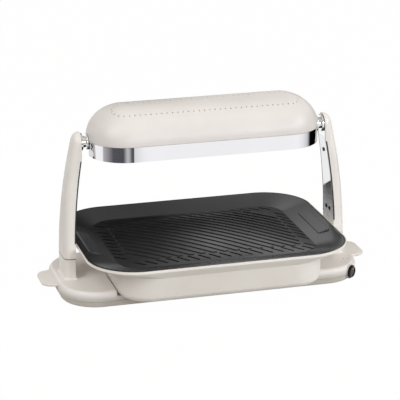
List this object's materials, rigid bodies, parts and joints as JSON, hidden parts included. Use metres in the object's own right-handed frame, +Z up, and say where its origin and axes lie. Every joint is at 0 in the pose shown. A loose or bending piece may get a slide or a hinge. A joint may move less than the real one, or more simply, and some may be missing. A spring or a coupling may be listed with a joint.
{
  "type": "indoor electric grill",
  "caption": "Table-top electric grill: a tilting heater head between two curved arms over a ridged, slotted pan in a slide-out drip tray on a low base.",
  "frame": {"origin": "on the table, under the middle of the whole grill", "axes": "+Z up, +X to the right of the person who cooks, -Y towards that person"},
  "size_m": [0.513, 0.306, 0.2849],
  "materials": {
    "cream_plastic": "satin moulded",
    "coated_aluminium": "black non-stick coating",
    "chrome": "mirror polished",
    "steel": "zinc plated",
    "bright_sheet": "bright rolled",
    "black_gloss": "polished",
    "black_plastic": "moulded",
    "rubber": "moulded",
    "bronze": "turned",
    "brass": "nickel plated",
    "quartz": "clear",
    "heater_alloy": "oxidised",
    "ceramic": "fired ceramic"
  },
  "bodies": {
    "base": {"bottom_housing": "cream_plastic", "deck_housing": "cream_plastic", "rubber_feet": "rubber", "base_screws": "steel", "arm_core_left": "steel", "arm_core_right": "steel", "core_screws": "steel", "arm_shell_left": "cream_plastic", "arm_shell_right": "cream_plastic", "arm_plate_left": "chrome", "arm_plate_right": "chrome", "arm_plate_screws": "chrome", "hinge_bush_left": "bronze", "hinge_bush_right": "bronze", "friction_washers": "steel", "control_switch": "black_plastic", "knob_bezel": "chrome", "power_inlet": "black_plastic", "inlet_pins": "brass", "terminal_block": "black_plastic", "inner_leads": "black_plastic"},
    "tray": {"drip_tray": "cream_plastic"},
    "pan": {"grill_pan": "coated_aluminium"},
    "head": {"head_dome": "cream_plastic", "head_band": "chrome", "head_frame": "steel", "head_screws": "steel", "hinge_hub_left": "chrome", "hinge_hub_right": "chrome", "hinge_shaft_left": "steel", "hinge_shaft_right": "steel", "hinge_nuts": "steel", "reflector": "bright_sheet", "heat_shield": "bright_sheet", "heater_tubes": "quartz", "heater_elements": "heater_alloy", "tube_caps": "ceramic", "tube_brackets": "steel", "guard_grille": "steel", "thermal_cutout": "steel"},
    "control": {"knob": "black_gloss", "control_shaft": "steel"}
  },
  "joints": [
    {"name": "tray_slide", "type": "slide", "parent": "base", "child": "tray", "axis": [0, -1, 0], "range_m": [0, 0.17]},
    {"name": "pan_lift", "type": "slide", "parent": "tray", "child": "pan", "axis": [0, 0, 1], "range_m": [0, 0.035]},
    {"name": "head_tilt", "type": "hinge", "parent": "base", "child": "head", "pos_m": [0, 0, 0.2325], "axis": [1, 0, 0], "range_deg": [-90, 90]},
    {"name": "knob_turn", "type": "hinge", "parent": "base", "child": "control", "pos_m": [0.21405, -0.07777, 0.0142], "axis": [0.6561, -0.7547, 0], "range_deg": [0, 270]}
  ]
}
